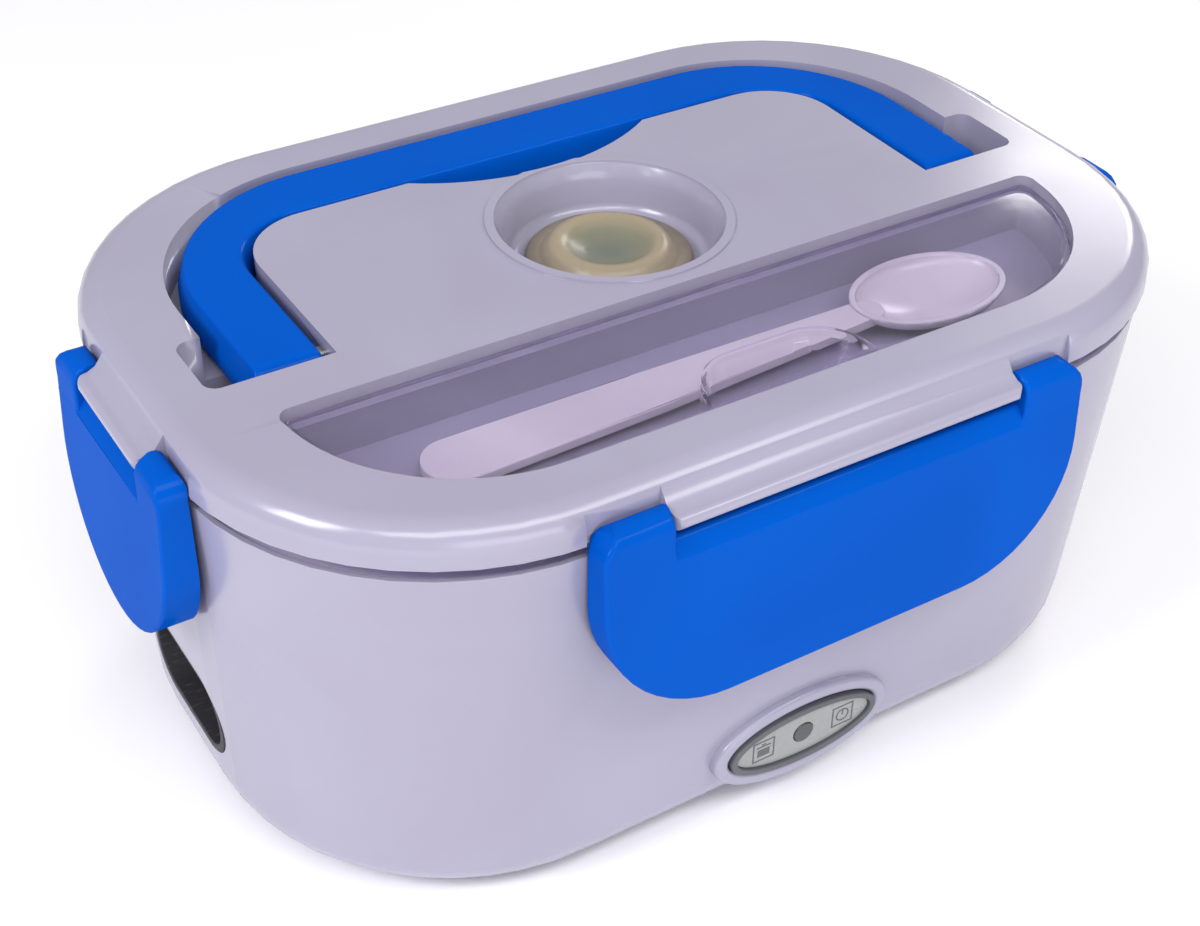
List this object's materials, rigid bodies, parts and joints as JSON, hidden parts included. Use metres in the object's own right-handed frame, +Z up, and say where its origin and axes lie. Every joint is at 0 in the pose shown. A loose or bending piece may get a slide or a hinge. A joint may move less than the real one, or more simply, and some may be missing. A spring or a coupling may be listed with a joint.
{
  "type": "electric lunch box",
  "caption": "Heated lunch box with a rounded body, four side latches, a lift-off lid with a folding handle, a steam plug and a spoon compartment, and a lift-out food container.",
  "frame": {"origin": "on the table, under the middle of the box's outline", "axes": "+X along the box away from the power inlet, +Y away from the indicator side, +Z up"},
  "size_m": [0.2392, 0.1686, 0.1039],
  "materials": {
    "shell_plastic": "satin polypropylene, pale lilac",
    "blue_plastic": "glossy polypropylene, bright blue",
    "basin_plastic": "satin polypropylene, white",
    "cover_plastic": "fine-textured polypropylene",
    "foot_rubber": "matt rubber",
    "screw_steel": "zinc-plated steel",
    "plate_aluminium": "rolled aluminium",
    "heater_film": "amber polyimide film round the heater block",
    "strap_steel": "spring steel strip",
    "bakelite": "dark phenolic",
    "fuse_red": "painted metal case",
    "wire_red": "silicone insulation",
    "wire_black": "silicone insulation",
    "board_green": "glass-epoxy board",
    "led_grey": "smoked epoxy",
    "panel_grey": "printed acrylic",
    "bezel_grey": "satin dark grey plastic",
    "socket_black": "black nylon",
    "pin_brass": "nickel-free brass",
    "container_plastic": "milky polypropylene",
    "tray_plastic": "milky polypropylene",
    "silicone_grey": "silicone rubber",
    "silicone_amber": "translucent silicone rubber",
    "clear_plastic": "clear polystyrene",
    "spoon_plastic": "white polypropylene"
  },
  "bodies": {
    "base": {"outer_shell": "shell_plastic", "inner_basin": "basin_plastic", "base_cover": "cover_plastic", "feet": "foot_rubber", "base_screws": "screw_steel", "heating_plate": "plate_aluminium", "ptc_heater": "heater_film", "heater_clamp": "strap_steel", "clamp_screws": "screw_steel", "thermostat": "bakelite", "thermal_fuse": "fuse_red", "mains_wires": "wire_red", "led_wires": "wire_black", "led_board": "board_green", "indicator_led": "led_grey", "indicator_panel": "panel_grey", "indicator_bezel": "bezel_grey", "inlet_socket": "socket_black", "inlet_pins": "pin_brass"},
    "container": {"food_container": "container_plastic"},
    "tray": {"side_tray": "tray_plastic"},
    "lid": {"lid_shell": "shell_plastic", "lid_liner": "basin_plastic", "lid_gasket": "silicone_grey", "latch_pins": "screw_steel", "handle_pins": "screw_steel"},
    "plug": {"steam_plug": "silicone_amber"},
    "spoon_lid": {"spoon_cover": "clear_plastic"},
    "spoon": {"spoon": "spoon_plastic"},
    "front_latch": {"latch_front": "blue_plastic"},
    "rear_latch": {"latch_rear": "blue_plastic"},
    "left_latch": {"latch_left": "blue_plastic"},
    "right_latch": {"latch_right": "blue_plastic"},
    "carry_handle": {"handle": "blue_plastic"}
  },
  "joints": [
    {"name": "lid_lift", "type": "slide", "parent": "base", "child": "lid", "axis": [0, 0, 1], "range_m": [0, 0.2]},
    {"name": "container_lift", "type": "slide", "parent": "base", "child": "container", "axis": [0, 0, 1], "range_m": [0, 0.08]},
    {"name": "tray_lift", "type": "slide", "parent": "container", "child": "tray", "axis": [0, 0, 1], "range_m": [0, 0.07]},
    {"name": "front_latch_hinge", "type": "hinge", "parent": "lid", "child": "front_latch", "pos_m": [0, -0.0779, 0.0966], "axis": [-1, 0, 0], "range_deg": [0, 100]},
    {"name": "rear_latch_hinge", "type": "hinge", "parent": "lid", "child": "rear_latch", "pos_m": [0, 0.0779, 0.0966], "axis": [1, 0, 0], "range_deg": [0, 100]},
    {"name": "left_latch_hinge", "type": "hinge", "parent": "lid", "child": "left_latch", "pos_m": [-0.1131, 0, 0.0966], "axis": [0, 1, 0], "range_deg": [0, 100]},
    {"name": "right_latch_hinge", "type": "hinge", "parent": "lid", "child": "right_latch", "pos_m": [0.1131, 0, 0.0966], "axis": [0, -1, 0], "range_deg": [0, 100]},
    {"name": "handle_hinge", "type": "hinge", "parent": "lid", "child": "carry_handle", "pos_m": [0, -0.002, 0.0983], "axis": [1, 0, 0], "range_deg": [0, 100]},
    {"name": "steam_plug_pull", "type": "slide", "parent": "lid", "child": "plug", "axis": [0, 0, 1], "range_m": [0, 0.012]},
    {"name": "spoon_cover_lift", "type": "slide", "parent": "lid", "child": "spoon_lid", "axis": [0, 0, 1], "range_m": [0, 0.06]},
    {"name": "spoon_lift", "type": "slide", "parent": "lid", "child": "spoon", "axis": [0, 0, 1], "range_m": [0, 0.03]}
  ],
  "couplings": [
    {"joint": "container_lift", "follows": "lid_lift", "ratio": 0.4},
    {"joint": "tray_lift", "follows": "lid_lift", "ratio": 0.35},
    {"joint": "spoon_lift", "follows": "spoon_cover_lift", "ratio": 0.5}
  ]
}
